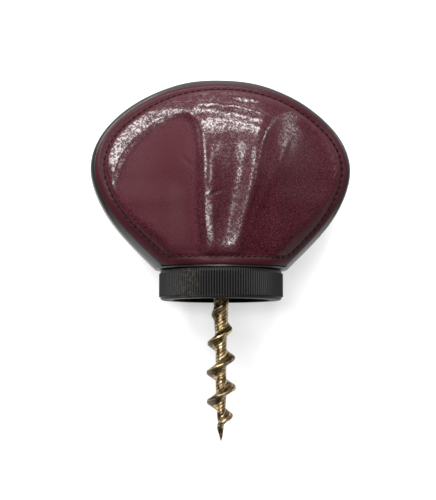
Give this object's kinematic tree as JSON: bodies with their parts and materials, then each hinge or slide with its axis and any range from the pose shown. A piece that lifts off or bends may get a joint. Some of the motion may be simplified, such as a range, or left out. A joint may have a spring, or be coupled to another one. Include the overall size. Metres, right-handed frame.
{
  "type": "corkscrew",
  "caption": "Corkscrew with a fan-shaped leather-clad handle, a ribbed screw collar that releases the worm unit, and a right-handed tapered worm.",
  "frame": {"origin": "on the worm axis, in the plane of the collar's lower rim", "axes": "+Y along the worm axis towards the handle's top, +Z out of the leather front, so the object lies on its back as pictured"},
  "size_m": [0.087, 0.1204, 0.0423],
  "materials": {
    "black_moulding": "satin black moulded plastic",
    "ribbed_moulding": "matt black moulded plastic with fine ribs",
    "leather": "glossy burgundy leather with fine grain and black stitching",
    "foam": "thin closed-cell foam",
    "zinc_steel": "bright zinc-plated steel",
    "worm_metal": "darkened brass-coloured worm with turned and filed marks",
    "tube_moulding": "plain dark moulded tube",
    "nylon": "natural nylon"
  },
  "bodies": {
    "handle": {"front_shell": "black_moulding", "rear_shell": "black_moulding", "front_leather": "leather", "rear_leather": "leather", "front_padding": "foam", "rear_padding": "foam", "shell_screws": "zinc_steel", "shell_dowels": "zinc_steel", "neck_sleeve": "black_moulding", "worm_tube": "tube_moulding"},
    "worm_unit": {"worm_carrier": "black_moulding", "worm": "worm_metal", "worm_pin": "zinc_steel", "worm_nut": "zinc_steel", "worm_washer": "zinc_steel"},
    "collar": {"knurled_collar": "ribbed_moulding", "slip_washer": "nylon"}
  },
  "joints": [
    {"name": "unit_travel", "type": "slide", "parent": "handle", "child": "worm_unit", "axis": [0, -1, 0], "range_m": [0, 0.005]},
    {"name": "collar_turn", "type": "hinge", "parent": "worm_unit", "child": "collar", "pos_m": [0, 0, 0], "axis": [0, -1, 0], "range_deg": [0, 360.5]}
  ],
  "couplings": [
    {"joint": "collar_turn", "follows": "unit_travel", "rad_per_m": 1256.6}
  ]
}
